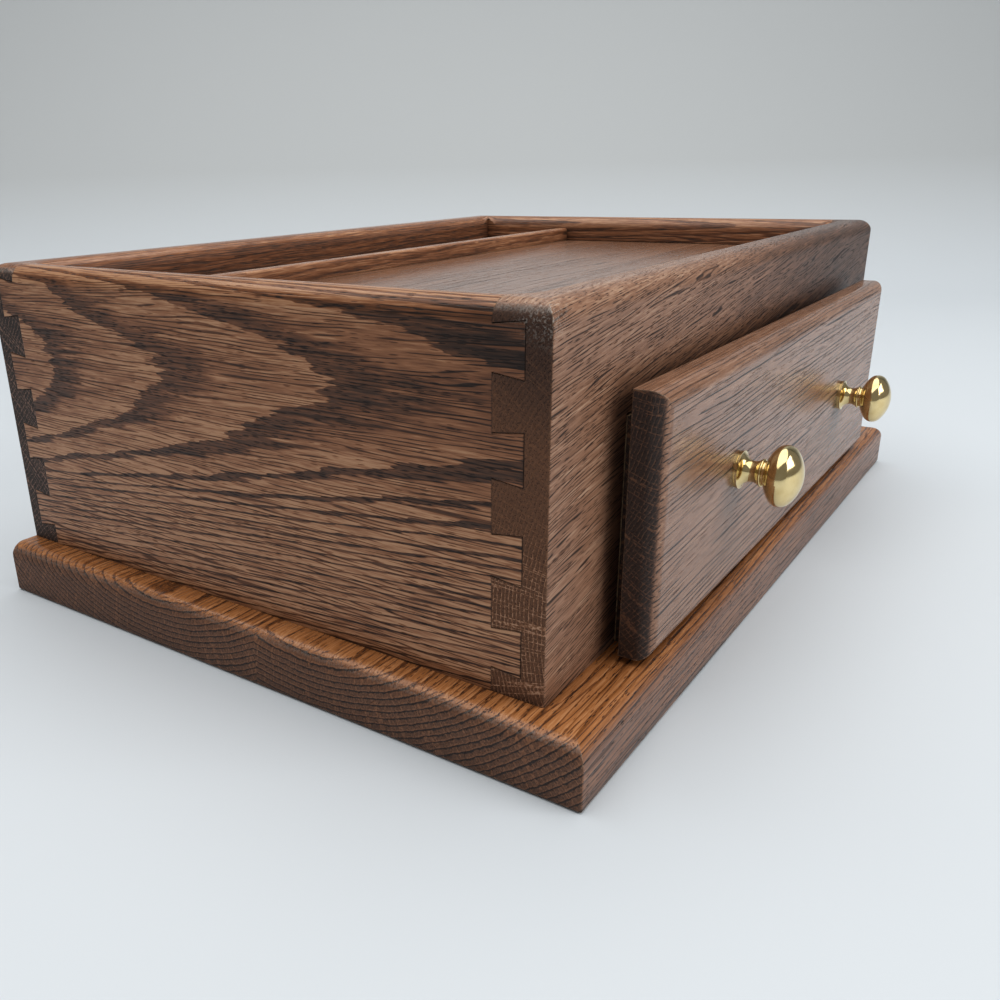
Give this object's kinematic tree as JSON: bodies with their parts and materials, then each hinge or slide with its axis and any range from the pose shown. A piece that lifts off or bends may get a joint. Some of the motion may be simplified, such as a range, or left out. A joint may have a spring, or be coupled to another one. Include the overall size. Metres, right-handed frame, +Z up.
{
  "type": "valet box",
  "caption": "Low dovetailed wooden box on a wider moulded base, with an open divided tray in its top and a full-width overlay drawer with brass knobs below.",
  "frame": {"origin": "centre of the base board's underside, where the box stands on a table", "axes": "+X to the right along the drawer's face, the longest way; +Y to the back, away from the drawer; +Z up, the shortest way"},
  "size_m": [0.3654, 0.2759, 0.1295],
  "materials": {
    "stained_oak": "satin stain",
    "stained_base": "satin stain",
    "stained_panel": "satin stain",
    "plain_oak": "planed and waxed",
    "plain_panel": "sanded",
    "brass": "polished",
    "steel": "zinc plated"
  },
  "bodies": {
    "case": {"base_board": "stained_base", "front_board": "stained_oak", "back_board": "stained_oak", "left_side": "stained_oak", "right_side": "stained_oak", "tray_floor": "stained_panel", "tray_divider": "stained_oak", "left_batten": "plain_oak", "right_batten": "plain_oak", "left_guide": "plain_oak", "right_guide": "plain_oak", "base_screws": "steel"},
    "drawer": {"drawer_face": "stained_oak", "drawer_inner_front": "plain_oak", "drawer_left_side": "plain_oak", "drawer_right_side": "plain_oak", "drawer_back": "plain_oak", "drawer_bottom": "plain_panel", "left_knob": "brass", "right_knob": "brass", "knob_screws": "steel", "face_screws": "steel"}
  },
  "joints": [
    {"name": "drawer_slide", "type": "slide", "parent": "case", "child": "drawer", "axis": [0, -1, 0], "range_m": [-0.0057, 0.14]}
  ]
}
